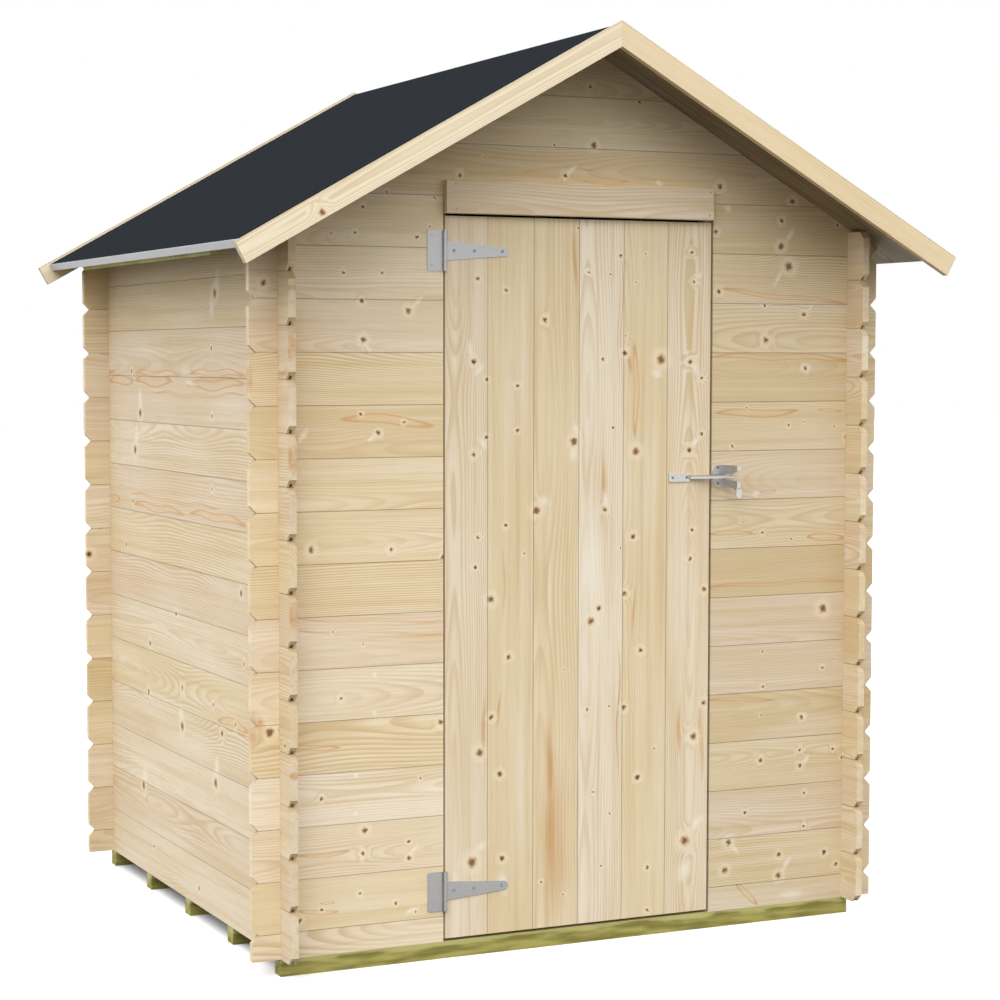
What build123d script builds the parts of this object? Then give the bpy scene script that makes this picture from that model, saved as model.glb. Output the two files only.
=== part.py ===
from build123d import *
import math
import os

# Wall boards
board_cover = 120.0
board_thick = 18.0
wall_width = 1533.0
wall_depth = 1344.0
side_courses = 14
board_end = 68.0
end_notch_depth = 17.0
end_notch_half = 17.0
tongue_thick = 6.0
tongue_high = 7.0
groove_deep = 8.0
joint_gap = 0.4
fit_gap = 0.3

# Bearers and floor
bearer_side = 40.0
bearer_count = 5
floor_board_wide = 120.0
floor_board_thick = 18.0
floor_edge_gap = 6.0
floor_joint_gap = 1.0

# Roof
roof_pitch = 29.1
front_overhang = 177.0
back_overhang = 71.0
eaves_overhang = 130.0
roof_board_thick = 16.0
roof_board_wide = 114.0
felt_thick = 2.5
eaves_trim_thick = 1.5
barge_wide = 51.0
barge_thick = 18.0
barge_above_felt = 5.0
barge_past_eaves = 28.0
batten_thick = 18.0
batten_wide = 40.0
batten_long = 1044.0
batten_from_eaves = 19.0
ridge_beam_wide = 45.0
ridge_beam_high = 70.0

# Doorway and door
doorway_width = 720.0
doorway_courses = 14.5
door_hinge_gap = 5.0
door_latch_gap = 6.0
door_bottom_gap = 7.0
door_head_gap = 5.0
header_bottom_courses = 14.16
header_high = 76.0
header_gap_hinge_side = 1.5
header_gap_latch_side = 10.0
header_thick = 18.0
door_plank_cover = 120.0
jamb_wide = 40.0
jamb_deep = 28.0
jamb_lip = 15.0
jamb_rebate = 5.0
jamb_above = 60.0
ledge_high = 95.0
ledge_thick = 18.0
ledge_inset = 25.0
brace_wide = 80.0

# Hinges
hinge_above_bottom = 113.0
hinge_below_top = 80.2
knuckle_radius = 5.0
pin_radius = 2.5
pin_gap = 0.3
leaf_thick = 2.0
leaf_wide = 43.0
leaf_high = 93.0
strap_long = 165.0
strap_root_high = 45.0
strap_tip_high = 21.0
knuckle_gap = 0.5

# Latch
latch_height = 1078.0
bar_plate_long = 58.0
bar_plate_high = 20.0
bar_plate_thick = 3.0
bar_plate_from_edge = 57.0
bar_radius = 5.0
bar_stand_off = 20.0
bar_past_keeper = 15.0
bar_straight_past_plate = 8.0
bar_bend_radius = 40.0
keeper_thick = 2.0
keeper_flange_wide = 28.0
keeper_from_doorway = 2.0
keeper_reach = 70.0
keeper_above = 29.0
keeper_below = 25.0
keeper_corner_wide = 10.0
keeper_corner_high = 16.0
mouth_gap = 2.5
mouth_flare_start = 46.0
mouth_flare_up = 17.0
mouth_flare_down = 10.0
lip_wide = 8.0
pawl_thick = 2.5
pawl_side_gap = 0.7
pawl_pivot_reach = 49.0
pawl_pivot_drop = 20.0
pawl_nose_long = 22.0
pawl_nose_high = 10.0
pawl_tab_wide = 16.0
pawl_tab_drop = 50.0
pawl_tab_reach = 62.0
rivet_radius = 3.0
rivet_head_radius = 5.0
rivet_head_thick = 1.5

# Places that follow from the sizes
pitch = math.radians(roof_pitch)
rise = math.tan(pitch)
base = bearer_side
left_x = -wall_width / 2
right_x = wall_width / 2
roof_length = front_overhang + wall_depth + back_overhang
roof_front_y = -roof_length / 2
roof_back_y = roof_length / 2
front_y = roof_front_y + front_overhang
back_y = front_y + wall_depth
side_top = base + side_courses * board_cover
ridge_under = side_top + rise * wall_width / 2
door_left = -doorway_width / 2 + door_hinge_gap
door_right = doorway_width / 2 - door_latch_gap
header_low = base + header_bottom_courses * board_cover
door_low = base + door_bottom_gap
door_high = header_low - door_head_gap
door_back_y = front_y + board_thick
hinge_x = -doorway_width / 2 + door_hinge_gap / 2
hinge_y = front_y - knuckle_radius
header_x0 = -doorway_width / 2 + header_gap_hinge_side
header_x1 = doorway_width / 2 - header_gap_latch_side
hinge_low_z = door_low + hinge_above_bottom
hinge_high_z = door_high - hinge_below_top
half_height = board_cover / 2
quarter = board_cover / 4

os.makedirs("parts", exist_ok=True)
node_shapes = {}


def keep(name, shape):
    node_shapes[name] = shape


def block(x0, x1, y0, y1, z0, z1):
    corner = (min(x0, x1), min(y0, y1), min(z0, z1))
    return Pos(*corner) * Box(abs(x1 - x0), abs(y1 - y0), abs(z1 - z0), align=(Align.MIN,) * 3)


def prism_along_x(points, x0, x1):
    return Pos(x0, 0, 0) * extrude(Plane.YZ * Polygon(*points, align=None), x1 - x0, dir=(1, 0, 0))


def prism_along_y(points, y0, y1):
    return Pos(0, y0, 0) * extrude(Plane.XZ * Polygon(*points, align=None), y1 - y0, dir=(0, 1, 0))


def board_section(low, high, tongue, groove):
    """Outline of a board across its run: thickness against height, tongue up and groove down."""
    near = (board_thick - tongue_thick) / 2
    far = near + tongue_thick
    points = [(0, low)]
    if groove:
        points += [
            (near - fit_gap, low),
            (near - fit_gap, low + groove_deep),
            (far + fit_gap, low + groove_deep),
            (far + fit_gap, low),
        ]
    points += [(board_thick, low), (board_thick, high)]
    if tongue:
        points += [(far, high), (far, high + tongue_high), (near, high + tongue_high), (near, high)]
    points.append((0, high))
    return points


def end_notch(end, joint, outward, upward):
    """Half of the V cut in a board's free end at a joint, carried on a little past the joint."""
    past = 1
    slope = end_notch_depth / end_notch_half
    points = [
        (end + outward, joint - upward * (end_notch_half + 1 / slope)),
        (end - outward * (end_notch_depth + past * slope), joint + upward * past),
        (end + outward, joint + upward * past),
    ]
    return prism_along_y(points, -1, board_thick + 1)


def log_board(start, end, low, high, crossings=(), free=(), tongue=True, groove=True):
    """One wall board along X with its outer face on y = 0, notched where it crosses another wall.

    The short free ends past the crossings have the groove but no tongue.
    """
    seated = not groove
    body_low = low if seated else low + joint_gap / 2
    body_high = high - joint_gap / 2
    board = prism_along_x(board_section(body_low, body_high, tongue, groove), start, end)
    half_slot = board_thick / 2 + fit_gap
    for middle in crossings:
        slot_top = high + tongue_high + 1
        notch_floor = high - quarter - fit_gap / 2
        board -= block(middle - half_slot, middle + half_slot, -1, board_thick + 1, notch_floor, slot_top)
        if groove or high - low > half_height + 1:
            notch_roof = low + quarter + fit_gap / 2
            board -= block(middle - half_slot, middle + half_slot, -1, board_thick + 1, low - 1, notch_roof)
    for outward in free:
        place, crossing = (end, max(crossings)) if outward > 0 else (start, min(crossings))
        tongue_top = high + tongue_high + 1
        board -= block(crossing, place + outward, -1, board_thick + 1, body_high, tongue_top)
        board -= end_notch(place, high, outward, 1)
        if high - low > half_height + 1:
            board -= end_notch(place, low, outward, -1)
    return board


def turned_to_side(board, outer_x):
    """Turns a board that runs along X to run along Y, with its thickness from outer_x toward +X."""
    return Pos(outer_x + board_thick, 0, 0) * Rot(0, 0, 90) * board


def space_under_roof():
    reach = wall_width
    points = [
        (-reach, 0),
        (-reach, ridge_under - fit_gap - rise * reach),
        (0, ridge_under - fit_gap),
        (reach, ridge_under - fit_gap - rise * reach),
        (reach, 0),
    ]
    return prism_along_y(points, 2 * roof_front_y, 2 * roof_back_y)


under_roof = space_under_roof()


# Bearers under the walls and floor
def make_bearers():
    step = (wall_depth - bearer_side) / (bearer_count - 1)
    for number in range(bearer_count):
        y = front_y + number * step
        keep(f"bearer_{number + 1}", block(left_x, right_x, y, y + bearer_side, 0, bearer_side))


# Floor boards laid from front to back
def make_floor():
    inner = board_thick + floor_edge_gap
    x0, x1 = left_x + inner, right_x - inner
    y0, y1 = front_y + inner, back_y - inner
    boards = []
    x = x0
    while x < x1 - floor_joint_gap:
        edge = min(x + floor_board_wide, x1)
        boards.append(block(x, edge - floor_joint_gap, y0, y1, base, base + floor_board_thick))
        x = edge
    keep("floor_boards", Compound(boards))


# Side walls of full boards, the top one planed to the roof slope
def side_boards():
    crossings = (front_y + board_thick / 2, back_y - board_thick / 2)
    start, end = front_y - board_end, back_y + board_end
    boards = []
    for course in range(side_courses):
        low = base + course * board_cover
        high = low + board_cover
        last = course == side_courses - 1
        board = log_board(start, end, low, high, crossings, (-1, 1), tongue=not last, groove=True)
        boards.append(board)
    return boards


def make_side_walls():
    for name, outer_x in (("left_wall_boards", left_x), ("right_wall_boards", right_x - board_thick)):
        keep(name, Compound([turned_to_side(board, outer_x) for board in side_boards()]))


# Front and back walls, half a board lower than the side walls, up to the ridge
def end_wall_courses():
    """Height range of each board of an end wall, from the half board at the foot to the gable top."""
    ranges = [(base, base + half_height)]
    while ranges[-1][1] < ridge_under - quarter:
        low = ranges[-1][1]
        ranges.append((low, low + board_cover))
    low, high = ranges[-1]
    if high < ridge_under:
        ranges[-1] = (low, high + quarter)
    return ranges


def end_wall_board(start, end, low, high, free):
    foot = low == base
    crossings = [
        place
        for place in (left_x + board_thick / 2, right_x - board_thick / 2)
        if start < place < end and low < side_top
    ]
    ends = free if low < side_top else ()
    has_tongue = high + tongue_high < ridge_under
    board = log_board(start, end, low, high, crossings, ends, tongue=has_tongue, groove=not foot)
    if high > side_top - rise * board_end - quarter:
        board = board & (Pos(0, -front_y, 0) * under_roof)
    return board


def make_ridge_beam():
    """Beam under the ridge, between the inner faces of the gables, with its top cut to both slopes."""
    half = ridge_beam_wide / 2
    top = ridge_under - fit_gap
    low = top - rise * half - ridge_beam_high
    points = [(-half, low), (half, low), (half, top - rise * half), (0, top), (-half, top - rise * half)]
    keep("ridge_beam", prism_along_y(points, front_y + board_thick, back_y - board_thick))


def make_end_walls():
    full_start, full_end = left_x - board_end, right_x + board_end
    doorway_top = base + doorway_courses * board_cover
    back, front_left, front_right, gable = [], [], [], []
    for low, high in end_wall_courses():
        whole = end_wall_board(full_start, full_end, low, high, (-1, 1))
        back.append(Pos(0, back_y - board_thick, 0) * whole)
        if low < doorway_top - 1:
            left = end_wall_board(full_start, -doorway_width / 2, low, high, (-1,))
            right = end_wall_board(doorway_width / 2, full_end, low, high, (1,))
            front_left.append(Pos(0, front_y, 0) * left)
            front_right.append(Pos(0, front_y, 0) * right)
        else:
            gable.append(Pos(0, front_y, 0) * whole)
    keep("back_wall_boards", Compound(back))
    keep("front_wall_left_boards", Compound(front_left))
    keep("front_wall_right_boards", Compound(front_right))
    keep("front_gable_boards", Compound(gable))


# Rebated posts that tie the cut board ends and stop the door
def make_jambs():
    top = base + doorway_courses * board_cover + jamb_above
    low = base + floor_board_thick
    for name, side in (("door_jamb_left", -1), ("door_jamb_right", 1)):
        edge = side * doorway_width / 2
        outer = edge + side * jamb_wide
        lip = edge - side * jamb_lip
        post = block(outer, lip, door_back_y, door_back_y + jamb_deep, low, top)
        post -= block(edge, lip, door_back_y, door_back_y + jamb_rebate, low, top)
        keep(name, post)


def make_header():
    high = header_low + header_high
    header = block(header_x0, header_x1, front_y - header_thick, front_y, header_low, high)
    front_edges = header.edges().filter_by(Axis.X).group_by(Axis.Y)[0]
    keep("door_header", chamfer(front_edges, 1.5))


# Roof slopes. A point is set by its distance from the ridge and its height above the slope's underside
def slope_point(side, run, above):
    x = side * (run * math.cos(pitch) + above * math.sin(pitch))
    z = ridge_under - run * math.sin(pitch) + above * math.cos(pitch)
    return (x, z)


def ridge_point(above):
    return (0, ridge_under + above / math.cos(pitch))


slope_run = (wall_width / 2 + eaves_overhang) / math.cos(pitch)
felt_top = roof_board_thick + felt_thick


def slope_slab(side, low, high, run, y0, y1):
    points = [ridge_point(low), ridge_point(high), slope_point(side, run, high), slope_point(side, run, low)]
    return prism_along_y(points, y0, y1)


def make_roof():
    count = max(1, round(roof_length / roof_board_wide))
    step = roof_length / count
    for name, side in (("left", -1), ("right", 1)):
        boards = []
        for number in range(count):
            y = roof_front_y + number * step
            far = y + step - (joint_gap if number < count - 1 else 0)
            board = slope_slab(side, 0, roof_board_thick, slope_run, y, far)
            boards.append(board - ridge_cut(side))
        keep(f"roof_boards_{name}", Compound(boards))
        felt = slope_slab(side, roof_board_thick, felt_top, slope_run, roof_front_y, roof_back_y)
        keep(f"roof_felt_{name}", felt - ridge_cut(side))
        trim_points = [
            slope_point(side, slope_run, 0),
            slope_point(side, slope_run, felt_top),
            slope_point(side, slope_run + eaves_trim_thick, felt_top),
            slope_point(side, slope_run + eaves_trim_thick, 0),
        ]
        keep(f"eaves_trim_{name}", prism_along_y(trim_points, roof_front_y, roof_back_y))
        make_batten(name, side)


def ridge_cut(side):
    """Thin slot on the ridge line that keeps the two slopes apart."""
    reach = joint_gap / 2
    return block(0, side * reach, roof_front_y - 1, roof_back_y + 1, ridge_under - 10, ridge_under + 60)


def make_batten(name, side):
    lower = slope_run - batten_from_eaves
    upper = lower - batten_wide
    points = [
        slope_point(side, upper, 0),
        slope_point(side, lower, 0),
        slope_point(side, lower, -batten_thick),
        slope_point(side, upper, -batten_thick),
    ]
    middle = (front_y + back_y) / 2
    keep(f"eaves_batten_{name}", prism_along_y(points, middle - batten_long / 2, middle + batten_long / 2))


def make_barge_boards():
    top = felt_top + barge_above_felt
    low = top - barge_wide
    run = slope_run + eaves_trim_thick + barge_past_eaves
    faces = (("front", roof_front_y - barge_thick, roof_front_y), ("back", roof_back_y, roof_back_y + barge_thick))
    for end_name, y0, y1 in faces:
        for name, side in (("left", -1), ("right", 1)):
            board = slope_slab(side, low, top, run, y0, y1)
            mitre = block(0, side * joint_gap / 2, y0 - 1, y1 + 1, 0, 2 * ridge_under)
            keep(f"barge_{end_name}_{name}", board - mitre)


# Door of tongue and groove planks on ledges and a brace
def make_door():
    width = door_right - door_left
    count = max(1, math.ceil(width / door_plank_cover - 0.2))
    first = width - (count - 1) * door_plank_cover
    planks = []
    low = 0
    for number in range(count):
        high = first + number * door_plank_cover
        last = number == count - 1
        section = board_section(
            low + (0 if number == 0 else joint_gap / 2),
            high - (0 if last else joint_gap / 2),
            tongue=not last,
            groove=number > 0,
        )
        points = [(door_left + across, front_y + depth) for depth, across in section]
        outline = Polygon(*points, align=None)
        planks.append(Pos(0, 0, door_low) * extrude(outline, door_high - door_low, dir=(0, 0, 1)))
        low = high
    keep("door_planks", Compound(planks))


def ledge(height):
    bar = block(
        door_left + ledge_inset,
        door_right - ledge_inset,
        door_back_y,
        door_back_y + ledge_thick,
        height - ledge_high / 2,
        height + ledge_high / 2,
    )
    back_edges = bar.faces().sort_by(Axis.Y)[-1].edges()
    return chamfer(back_edges, 4)


def make_ledges():
    low, high = hinge_low_z, hinge_high_z
    keep("door_ledge_lower", ledge(low))
    keep("door_ledge_upper", ledge(high))
    x0 = door_left + ledge_inset
    x1 = door_right - ledge_inset
    z0 = low + ledge_high / 2 + fit_gap
    z1 = high - ledge_high / 2 - fit_gap
    run = math.hypot(x1 - x0 - brace_wide, z1 - z0)
    foot = brace_wide * run / (z1 - z0)
    points = [(x0, z0), (x0 + foot, z0), (x1, z1), (x1 - foot, z1)]
    keep("door_brace", prism_along_y(points, door_back_y, door_back_y + ledge_thick))


# Strap hinges: a wall leaf that carries the pin, and a tapered strap on the door
def make_hinge(name, height):
    z0 = height - leaf_high / 2
    z1 = height + leaf_high / 2
    root0 = height - strap_root_high / 2
    root1 = height + strap_root_high / 2

    def cylinder(radius, low, high):
        return Pos(hinge_x, hinge_y, (low + high) / 2) * Cylinder(radius, high - low)

    leaf = block(hinge_x - leaf_wide, hinge_x, front_y - leaf_thick, front_y, z0, z1)
    corners = leaf.edges().filter_by(Axis.Y).group_by(Axis.X)[0]
    leaf = fillet(corners, 3)
    clear = knuckle_radius + knuckle_gap
    gap0, gap1 = root0 - knuckle_gap, root1 + knuckle_gap
    leaf -= block(hinge_x - clear, hinge_x + 1, front_y - leaf_thick - 1, front_y + 1, gap0, gap1)
    leaf += cylinder(knuckle_radius, z0, gap0)
    leaf += cylinder(knuckle_radius, gap1, z1)
    leaf += cylinder(pin_radius, z0, z1)
    keep(f"hinge_{name}_leaf", leaf)

    tip = strap_tip_high / 2
    tip_x = strap_long - tip
    outline = Polygon(
        (0, -strap_root_high / 2), (tip_x, -tip), (tip_x, tip), (0, strap_root_high / 2), align=None
    )
    outline += Pos(tip_x, 0) * Circle(tip)
    strap = Pos(hinge_x, front_y, height) * extrude(Plane.XZ * outline, leaf_thick, dir=(0, -1, 0))
    strap += cylinder(knuckle_radius, root0, root1)
    strap -= cylinder(pin_radius + pin_gap, root0 - 1, root1 + 1)
    keep(f"hinge_{name}_strap", strap)


# Automatic gate latch: a cranked bar on the door, a keeper with an open mouth and a hanging pawl
def make_latch():
    height = base + latch_height
    plate_x1 = door_right - bar_plate_from_edge
    plate_x0 = plate_x1 - bar_plate_long
    keeper_x0 = doorway_width / 2 + keeper_from_doorway
    arm_x1 = keeper_x0 + keeper_flange_wide + keeper_thick
    arm_x0 = arm_x1 - keeper_thick
    bar_y = front_y - bar_stand_off
    make_bar(height, plate_x0, plate_x1, (arm_x0 + arm_x1) / 2, bar_y, arm_x1 + bar_past_keeper)
    make_keeper(height, keeper_x0, arm_x0, arm_x1, bar_y)
    make_pawl(height, arm_x0, arm_x1)


def make_bar(height, plate_x0, plate_x1, arm_x, bar_y, bar_end):
    """Flat plate with a rod that leans away from the door, so that it meets the keeper's mouth."""
    half = bar_plate_high / 2
    plate = block(plate_x0, plate_x1, front_y - bar_plate_thick, front_y, height - half, height + half)
    start_y = front_y - bar_radius
    bend_x = plate_x1 + bar_straight_past_plate
    lean = (bar_y - start_y) / (arm_x - bend_x)
    path = FilletPolyline(
        (plate_x1 - 2, start_y, height),
        (bend_x, start_y, height),
        (bar_end, start_y + lean * (bar_end - bend_x), height),
        radius=bar_bend_radius,
    )
    section = Plane(origin=(plate_x1 - 2, start_y, height), z_dir=(1, 0, 0)) * Circle(bar_radius)
    rod = sweep(section, path)
    end_edges = rod.faces().sort_by(Axis.X)[-1].edges()
    keep("latch_bar", chamfer(end_edges, 1.2) + plate)


def make_keeper(height, flange_x, arm_x0, arm_x1, bar_y):
    z0, z1 = height - keeper_below, height + keeper_above
    flange_outline = Polygon(
        (flange_x, z0 + keeper_corner_high),
        (flange_x + keeper_corner_wide, z0),
        (arm_x1, z0),
        (arm_x1, z1),
        (flange_x + keeper_corner_wide, z1),
        (flange_x, z1 - keeper_corner_high),
        align=None,
    )
    flange = Pos(0, front_y, 0) * extrude(Plane.XZ * flange_outline, keeper_thick, dir=(0, -1, 0))
    outer_y = front_y - keeper_reach
    arm = block(arm_x0, arm_x1, outer_y, front_y, z0, z1)
    lips = block(arm_x1, arm_x1 + lip_wide, outer_y, outer_y + keeper_thick, z0, z1)
    half = bar_radius + mouth_gap
    flare_y = front_y - mouth_flare_start
    mouth_points = [
        (bar_y, height - half),
        (bar_y, height + half),
        (flare_y, height + half),
        (outer_y, height + mouth_flare_up),
        (outer_y - 1, height + mouth_flare_up),
        (outer_y - 1, height - mouth_flare_down),
        (outer_y, height - mouth_flare_down),
        (flare_y, height - half),
    ]
    far = arm_x1 + lip_wide + 1
    mouth = prism_along_x(mouth_points, arm_x0 - 1, far)
    seat = Pos((arm_x0 + far) / 2, bar_y, height) * Rot(0, 90, 0) * Cylinder(half, far - arm_x0 + 2)
    keep("latch_keeper", (flange + arm + lips) - mouth - seat)


def make_pawl(height, arm_x0, arm_x1):
    pivot_y = front_y - pawl_pivot_reach
    pivot_z = height - pawl_pivot_drop
    x0 = arm_x1 + pawl_side_gap
    x1 = x0 + pawl_thick
    half = pawl_nose_high / 2
    tab_y = front_y - pawl_tab_reach
    tab_low = height - pawl_tab_drop
    body_outline = [
        (pivot_y + pawl_nose_long, pivot_z - half + 3),
        (pivot_y + pawl_nose_long - 3, pivot_z - half),
        (pivot_y + half, pivot_z - half),
        (tab_y + pawl_thick + 3, height - keeper_below - 6),
        (tab_y, height - keeper_below - 6),
        (tab_y, pivot_z - half),
        (pivot_y - half, pivot_z + half / 2),
        (pivot_y, pivot_z + half),
        (pivot_y + pawl_nose_long, pivot_z + half),
    ]
    pawl = prism_along_x(body_outline, x0, x1)
    tab_radius = pawl_tab_wide / 2
    tab_outline = Polygon(
        (x0, tab_low + tab_radius),
        (x0 + pawl_tab_wide, tab_low + tab_radius),
        (x0 + pawl_tab_wide, height - keeper_below - 3),
        (x0, height - keeper_below - 3),
        align=None,
    )
    tab_outline += Pos(x0 + tab_radius, tab_low + tab_radius) * Circle(tab_radius)
    pawl += Pos(0, tab_y, 0) * extrude(Plane.XZ * tab_outline, pawl_thick, dir=(0, 1, 0))
    hole = rivet_radius + fit_gap
    pawl -= Pos((x0 + x1) / 2, pivot_y, pivot_z) * Rot(0, 90, 0) * Cylinder(hole, pawl_thick + 2)
    keep("latch_pawl", pawl)

    def round_bar(radius, low, high):
        return Pos((low + high) / 2, pivot_y, pivot_z) * Rot(0, 90, 0) * Cylinder(radius, high - low)

    end = x1 + fit_gap
    rivet = round_bar(rivet_radius, arm_x1, end) + round_bar(rivet_head_radius, end, end + rivet_head_thick)
    rivet += round_bar(rivet_head_radius, arm_x0 - rivet_head_thick, arm_x0)
    node_shapes["latch_keeper"] = node_shapes["latch_keeper"] + rivet


make_bearers()
make_floor()
make_side_walls()
make_end_walls()
make_ridge_beam()
make_jambs()
make_header()
make_roof()
make_barge_boards()
make_door()
make_ledges()
make_hinge("lower", hinge_low_z)
make_hinge("upper", hinge_high_z)
make_latch()

for name, shape in node_shapes.items():
    export_step(shape, f"parts/{name}.step")
    size = shape.bounding_box().size
    print(f"{name}: {len(shape.solids())} solids, {size.X:.1f} x {size.Y:.1f} x {size.Z:.1f} mm")
print(f"door hinge axis at x {hinge_x:.1f} y {hinge_y:.1f}, front face y {front_y:.1f}")
print(f"pawl pivot y {front_y - pawl_pivot_reach:.1f} z {base + latch_height - pawl_pivot_drop:.1f}")
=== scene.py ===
# %% [markdown]
# # A small garden shed in spruce
# The shed is a kit of interlocking boards. They cross at the corners like the logs of a cabin.
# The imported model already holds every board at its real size, so this script adds the looks:
# the grain, the knots, the felt, the zinc, the screws and nails, the light and the camera.
# The model comes first, because every later step measures from it.

import math

import bmesh
import bpy
from mathutils import Matrix, Vector


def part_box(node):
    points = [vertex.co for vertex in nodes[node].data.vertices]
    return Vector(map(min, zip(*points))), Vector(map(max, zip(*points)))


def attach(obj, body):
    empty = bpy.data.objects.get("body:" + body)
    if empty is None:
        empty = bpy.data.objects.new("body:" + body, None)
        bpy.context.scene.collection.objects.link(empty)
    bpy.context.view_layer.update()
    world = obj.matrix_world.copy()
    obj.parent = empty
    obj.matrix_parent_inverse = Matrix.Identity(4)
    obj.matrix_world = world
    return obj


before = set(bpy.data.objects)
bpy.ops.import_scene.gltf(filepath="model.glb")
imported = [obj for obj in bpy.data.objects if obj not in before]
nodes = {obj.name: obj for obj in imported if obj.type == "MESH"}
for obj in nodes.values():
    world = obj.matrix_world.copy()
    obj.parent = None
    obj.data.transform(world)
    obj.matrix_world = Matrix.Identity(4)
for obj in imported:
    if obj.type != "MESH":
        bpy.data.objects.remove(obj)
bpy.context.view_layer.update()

# %% [markdown]
# ## Places to measure from
# A few numbers come up again and again. The wall faces are read from the model's boxes, so they can't
# drift from it.

# %% Main places
board_cover = 0.12
board_thick = 0.018
roof_pitch = math.radians(29.1)
plank_count = 6
side_low, side_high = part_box("left_wall_boards")
door_low, door_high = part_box("door_planks")
left_x, wall_z = side_low.x, side_low.z
right_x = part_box("right_wall_boards")[1].x
front_y = door_low.y
back_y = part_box("back_wall_boards")[1].y
print("walls from", round(left_x, 4), "to", round(right_x, 4), "front face", round(front_y, 4))

# %% [markdown]
# ## Camera
# The photograph was taken from the left of the door, a little below the eaves, with a long lens.
# The upright edges stay upright in it, so the lens was shifted rather than tilted much. Blender's
# camera has the same shift, given as a share of the picture's width.

# %% Camera
lens_data = bpy.data.cameras.new("camera")
lens_data.sensor_width = 36.0
lens_data.lens = 85.23
lens_data.shift_x = 0.0471
lens_data.shift_y = 0.0234
lens_data.clip_end = 100.0
camera = bpy.data.objects.new("camera", lens_data)
yaw, tilt = 0.4298, -0.0695
camera.location = (-2.6228, -5.6092, 1.4061)
camera.rotation_euler = (math.pi / 2 + tilt, 0.0, -yaw)
bpy.context.scene.collection.objects.link(camera)
bpy.context.scene.camera = camera
print("camera", [round(v, 3) for v in camera.location], "lens", lens_data.lens)

# %% [markdown]
# ## Maths for materials
# A material is a small graph of nodes. Building one by hand takes hundreds of links, so one class
# wraps an output and lets Python's own signs add the Math nodes. Every other node comes from its
# one method `node`, which sets the node's options first and its sockets after that.


# %% A wrapper for shader maths
class Wire:
    """An output in a material, which takes part in sums like a number."""

    def __init__(self, tree, socket):
        self.tree = tree
        self.socket = socket

    def node(self, kind, settings=None, values=None, out=0):
        """Adds a node: its settings first, then the values or wires of its sockets."""
        made = self.tree.nodes.new(kind)
        for key, value in (settings or {}).items():
            if key == "stops":
                set_stops(made.color_ramp, value)
            else:
                setattr(made, key, value)
        for key, value in (values or {}).items():
            if isinstance(value, Wire):
                self.tree.links.new(value.socket, made.inputs[key])
            else:
                made.inputs[key].default_value = value
        return Wire(self.tree, made.outputs[out])

    def other(self, name):
        """Another output of the same node."""
        return Wire(self.tree, self.socket.node.outputs[name])

    def maths(self, operation, *values):
        return self.node("ShaderNodeMath", {"operation": operation}, dict(enumerate(values)))

    def __add__(self, other):
        return self.maths("ADD", self, other)

    def __radd__(self, other):
        return self.maths("ADD", other, self)

    def __sub__(self, other):
        return self.maths("SUBTRACT", self, other)

    def __rsub__(self, other):
        return self.maths("SUBTRACT", other, self)

    def __mul__(self, other):
        return self.maths("MULTIPLY", self, other)

    def __rmul__(self, other):
        return self.maths("MULTIPLY", other, self)

    def __truediv__(self, other):
        return self.maths("DIVIDE", self, other)

    def __rtruediv__(self, other):
        return self.maths("DIVIDE", other, self)

    def __pow__(self, other):
        return self.maths("POWER", self, other)

    def step(self, low, high):
        """Rises smoothly from 0 to 1 between low and high."""
        return self.node(
            "ShaderNodeMapRange",
            {"interpolation_type": "SMOOTHSTEP"},
            {"Value": self, "From Min": low, "From Max": high},
        )

    def dot(self, direction):
        return self.node(
            "ShaderNodeVectorMath",
            {"operation": "DOT_PRODUCT"},
            {0: self, 1: tuple(direction)},
            out="Value",
        )

    def mix(self, first, second):
        """first where this mask is 0, second where it is 1, for colours."""
        return self.node("ShaderNodeMix", {"data_type": "RGBA"}, {0: self, 6: first, 7: second}, out=2)


def set_stops(ramp, stops):
    """Flat bands of colour, each from its own place to the next one's."""
    ramp.interpolation = "CONSTANT"
    ramp.elements.remove(ramp.elements[1])
    ramp.elements[0].color = stops[0][1]
    for place, colour in stops[1:]:
        ramp.elements.new(place).color = colour


print("shader maths ready")

# %% [markdown]
# Colours are easiest to judge as they look on a screen, but the renderer sums light. `look` turns a
# screen colour from 0 to 255 into the renderer's own numbers.


# %% Colours and empty materials
def look(red, green, blue):
    def linear(value):
        value = value / 255
        return value / 12.92 if value <= 0.04045 else ((value + 0.055) / 1.055) ** 2.4

    return (linear(red), linear(green), linear(blue), 1.0)


def new_material(name):
    """A material with one plain shader, and a first wire that gives places in the frame."""
    material = bpy.data.materials.new(name)
    material.use_nodes = True
    tree = material.node_tree
    tree.nodes.clear()
    output = tree.nodes.new("ShaderNodeOutputMaterial")
    shader = tree.nodes.new("ShaderNodeBsdfPrincipled")
    tree.links.new(shader.outputs[0], output.inputs["Surface"])
    start = Wire(tree, shader.outputs[0])
    place = start.node("ShaderNodeTexCoord", out="Object")
    return material, shader, place


def plug(wire, shader, socket):
    """Feeds a wire into a socket of the shader."""
    wire.tree.links.new(wire.socket, shader.inputs[socket])


def roughen(shader, height, strength, distance):
    """Turns a height from 0 to 1 into fine relief, whose depth is the distance."""
    bump = height.node(
        "ShaderNodeBump",
        None,
        {"Strength": strength, "Distance": distance, "Height": height},
        out="Normal",
    )
    plug(bump, shader, "Normal")


def dress(material, *names):
    """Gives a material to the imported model's pieces of these names."""
    for name in names:
        slots = nodes[name].data.materials
        slots.clear()
        slots.append(material)


print("pale spruce", [round(v, 3) for v in look(224, 206, 172)[:3]])

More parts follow.
